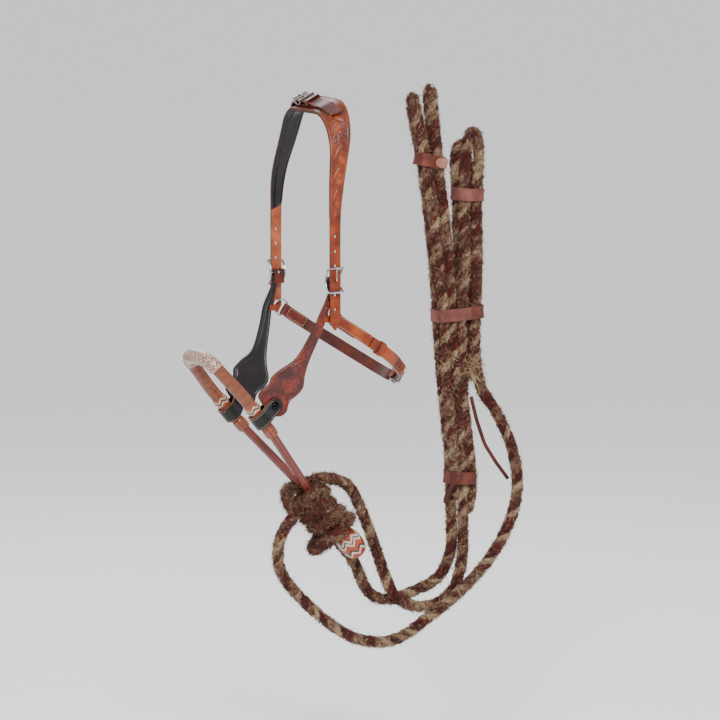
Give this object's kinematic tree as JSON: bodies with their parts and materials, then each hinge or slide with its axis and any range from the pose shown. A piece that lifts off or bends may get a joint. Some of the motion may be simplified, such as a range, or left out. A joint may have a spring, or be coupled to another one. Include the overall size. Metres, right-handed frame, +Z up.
{
  "type": "western bosal hackamore set",
  "caption": "Padded, tooled leather hackamore headstall with throat strap, carrying a braided rawhide bosal and a twisted horsehair rein rope tied up in a hank.",
  "frame": {"origin": "highest point of the crown's underside, in the middle, where a head or a hook carries the set", "axes": "+Z up, -X towards the horse's nose, +Y towards the off (right) side; the XZ plane is the horse's middle plane"},
  "size_m": [0.5182, 0.2024, 0.8008],
  "materials": {
    "russet_leather": "tooled, oiled satin",
    "black_lining": "padded, soft satin",
    "mahogany_leather": "tooled, oiled gloss",
    "black_leather": "satin with pale stitching",
    "steel_hardware": "polished",
    "engraved_hardware": "polished with darkened recesses",
    "black_screw": "gloss",
    "rawhide_orange": "fine rawhide braid, varnished",
    "rawhide_red": "fine rawhide braid, varnished",
    "rawhide_patterned": "herringbone braid in pale and brown strings",
    "rawhide_core": "twisted rawhide",
    "hair_rope": "twisted horsehair, hairy",
    "tie_leather": "smooth satin"
  },
  "bodies": {
    "headstall": {"near_crown_outer": "russet_leather", "near_crown_pad": "black_lining", "near_cheek_outer": "mahogany_leather", "near_cheek_lining": "black_lining", "near_buckle_chape": "mahogany_leather", "near_cheek_buckle": "engraved_hardware", "near_cheek_buckle_tongue": "engraved_hardware", "near_ring_tab": "black_leather", "off_crown_outer": "russet_leather", "off_crown_pad": "black_lining", "off_cheek_outer": "mahogany_leather", "off_cheek_lining": "black_lining", "off_buckle_chape": "mahogany_leather", "off_cheek_buckle": "engraved_hardware", "off_cheek_buckle_tongue": "engraved_hardware", "off_ring_tab": "black_leather", "poll_chape": "mahogany_leather", "poll_billet": "mahogany_leather", "poll_buckle": "engraved_hardware", "poll_buckle_tongue": "engraved_hardware", "poll_keeper": "mahogany_leather", "mecate_rein_left": "hair_rope", "mecate_rein_return": "hair_rope", "mecate_lead": "hair_rope", "mecate_hank_left": "hair_rope", "mecate_hank_right": "hair_rope", "mecate_hank_trunk": "hair_rope", "mecate_hank_foot": "hair_rope", "tie_left": "tie_leather", "tie_right": "tie_leather", "tie_wide": "tie_leather", "tie_low": "tie_leather", "mecate_popper": "tie_leather"},
    "bosal": {"near_hanger_loop": "black_leather", "near_hanger_screw": "black_screw", "near_screw_cap": "steel_hardware", "near_shank": "rawhide_red", "near_side_button": "rawhide_patterned", "near_lower_knot": "rawhide_orange", "off_hanger_loop": "black_leather", "off_hanger_screw": "black_screw", "off_screw_cap": "steel_hardware", "off_shank": "rawhide_red", "off_side_button": "rawhide_patterned", "off_lower_knot": "rawhide_orange", "bosal_core": "rawhide_core", "bosal_noseband": "rawhide_orange", "nose_button": "rawhide_patterned", "heel_knot": "rawhide_patterned", "mecate_wraps": "hair_rope"},
    "throat_strap": {"near_ring": "steel_hardware", "off_ring": "steel_hardware", "throat_buckle_strap": "russet_leather", "throat_billet": "russet_leather", "throat_buckle": "steel_hardware", "throat_buckle_tongue": "steel_hardware"},
    "throat_keeper": {"throat_keeper": "russet_leather"}
  },
  "joints": [
    {"name": "bosal_swing", "type": "hinge", "parent": "headstall", "child": "bosal", "pos_m": [-0.087, 0, -0.412], "axis": [0, 1, 0], "range_deg": [-20, 6], "deforming": ["mecate_rein_left", "mecate_rein_return", "mecate_lead"]},
    {"name": "throat_swing", "type": "hinge", "parent": "headstall", "child": "throat_strap", "pos_m": [-0.008, 0, -0.29], "axis": [0, 1, 0], "range_deg": [-40, 40]},
    {"name": "throat_keeper_slide", "type": "slide", "parent": "throat_strap", "child": "throat_keeper", "axis": [0.8161, 0.1758, -0.5505], "range_m": [-0.008, 0.01]}
  ]
}
